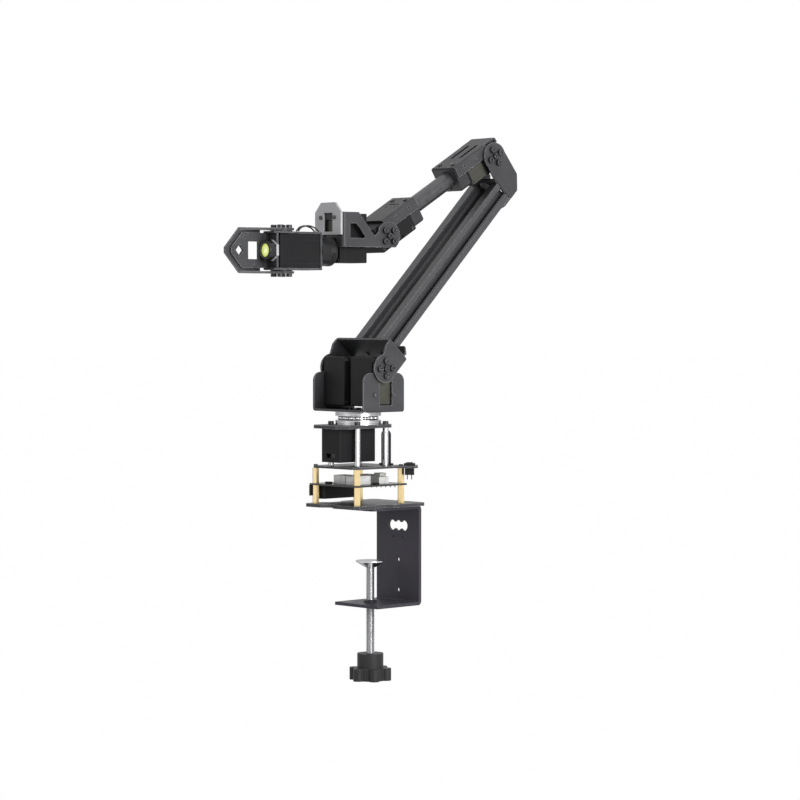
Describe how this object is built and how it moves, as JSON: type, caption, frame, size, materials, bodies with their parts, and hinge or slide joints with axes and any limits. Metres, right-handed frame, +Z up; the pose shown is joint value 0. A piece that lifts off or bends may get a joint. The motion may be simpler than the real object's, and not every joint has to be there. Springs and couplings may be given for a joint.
{
  "type": "desktop robot arm",
  "caption": "Desktop servo arm clamped to a table edge: turret, profile upper arm, tube forearm, rolling wrist and a gripper with one moving jaw and a lamp.",
  "frame": {"origin": "turret axis at the underside of the base plate, on top of the clamp's tab", "axes": "+Z up along the turret axis, +X away from the table edge over the table, +Y to the left"},
  "size_m": [0.326, 0.0908, 0.5069],
  "materials": {
    "black_sheet": "satin anodised sheet",
    "black_profile": "black anodised",
    "black_horn": "black anodised",
    "black_steel": "blackened",
    "black_plastic": "matt",
    "knob_plastic": "matt",
    "servo_plastic": "satin",
    "motor_steel": "plated",
    "bright_steel": "polished",
    "bare_aluminium": "satin",
    "brass": "turned",
    "board_green": "solder mask",
    "white_plastic": "matt",
    "carbon": "lacquered weave",
    "lead_rubber": "matt",
    "lamp_black": "black anodised",
    "lamp_yellow": "clear coated"
  },
  "bodies": {
    "base": {"antenna": "black_plastic", "base_fasteners": "black_steel", "base_plate": "black_sheet", "base_servo_case": "servo_plastic", "base_servo_covers": "servo_plastic", "base_servo_motor": "motor_steel", "bearing_balls": "bright_steel", "bearing_lower_race": "bright_steel", "board_components": "white_plastic", "brass_standoffs": "brass", "clamp_bracket": "black_sheet", "controller_board": "board_green", "mid_plate": "black_sheet", "power_module": "black_plastic", "power_switch_housing": "black_plastic", "silver_standoffs": "bright_steel", "top_plate": "black_sheet"},
    "clamp_pad": {"clamp_pad": "bright_steel"},
    "clamp_screw": {"clamp_screw": "bright_steel", "clamp_knob": "knob_plastic"},
    "switch_rocker": {"power_switch_rocker": "black_plastic"},
    "turret": {"bearing_upper_race": "bright_steel", "shoulder_servo_cases": "servo_plastic", "shoulder_servo_covers": "servo_plastic", "shoulder_servo_motors": "motor_steel", "turret_bracket": "black_sheet", "turret_horn": "bright_steel", "turret_screws": "black_steel"},
    "upper_arm": {"elbow_bracket": "black_sheet", "elbow_horns": "black_horn", "shoulder_horns": "black_horn", "shoulder_yoke": "black_sheet", "upper_arm_profile": "black_profile", "upper_arm_screws": "black_steel"},
    "forearm": {"elbow_channel": "black_sheet", "forearm_screws": "black_steel", "forearm_servo_cases": "servo_plastic", "forearm_servo_covers": "servo_plastic", "forearm_servo_motors": "motor_steel", "forearm_tube": "carbon", "tube_clamps": "black_profile", "wrist_channel": "black_sheet"},
    "wrist": {"roll_servo_case": "servo_plastic", "roll_servo_covers": "servo_plastic", "roll_servo_motor": "motor_steel", "wrist_bracket": "black_sheet", "wrist_face_plate": "bare_aluminium", "wrist_horns": "black_horn", "wrist_screws": "black_steel"},
    "gripper": {"fixed_jaw": "black_sheet", "gripper_leads": "lead_rubber", "gripper_servo_case": "servo_plastic", "gripper_servo_covers": "servo_plastic", "gripper_servo_motor": "motor_steel", "lamp_housing": "lamp_black", "lamp_lens": "lamp_yellow", "roll_horn": "black_horn"},
    "jaw": {"gripper_horns": "black_horn", "jaw_screws": "black_steel", "moving_jaw": "black_sheet"}
  },
  "joints": [
    {"name": "turret_yaw", "type": "hinge", "parent": "base", "child": "turret", "pos_m": [0, 0, 0.088], "axis": [0, 0, 1], "range_deg": [-174.5, 185.5]},
    {"name": "shoulder", "type": "hinge", "parent": "turret", "child": "upper_arm", "pos_m": [0, 0, 0.128], "axis": [0.0958, 0.9954, 0], "range_deg": [-36, 108]},
    {"name": "elbow", "type": "hinge", "parent": "upper_arm", "child": "forearm", "pos_m": [-0.14724, 0.01418, 0.32683], "axis": [0.0958, 0.9954, 0], "range_deg": [-202, 15]},
    {"name": "wrist_pitch", "type": "hinge", "parent": "forearm", "child": "wrist", "pos_m": [-0.01995, 0.00192, 0.24939], "axis": [-0.0958, -0.9954, 0], "range_deg": [-46, 58.3]},
    {"name": "wrist_roll", "type": "hinge", "parent": "wrist", "child": "gripper", "pos_m": [0.02982, -0.00287, 0.23459], "axis": [0.9954, -0.0958, 0], "range_deg": [-180, 180]},
    {"name": "gripper", "type": "hinge", "parent": "gripper", "child": "jaw", "pos_m": [0.08705, -0.00838, 0.23459], "axis": [0, 0, -1], "range_deg": [0, 135]},
    {"name": "clamp_travel", "type": "slide", "parent": "base", "child": "clamp_pad", "axis": [0, 0, 1], "range_m": [-0.0277, 0.0415]},
    {"name": "clamp_turn", "type": "hinge", "parent": "clamp_pad", "child": "clamp_screw", "pos_m": [-0.0152, 0, -0.052], "axis": [0, 0, 1], "range_deg": [-8000, 12000]},
    {"name": "power_switch", "type": "hinge", "parent": "base", "child": "switch_rocker", "pos_m": [-0.03345, 0.03345, 0.0354], "axis": [-0.7071, 0.7071, 0], "range_deg": [-16, 0]}
  ],
  "couplings": [
    {"joint": "clamp_turn", "follows": "clamp_travel", "rad_per_m": 5026.5}
  ]
}
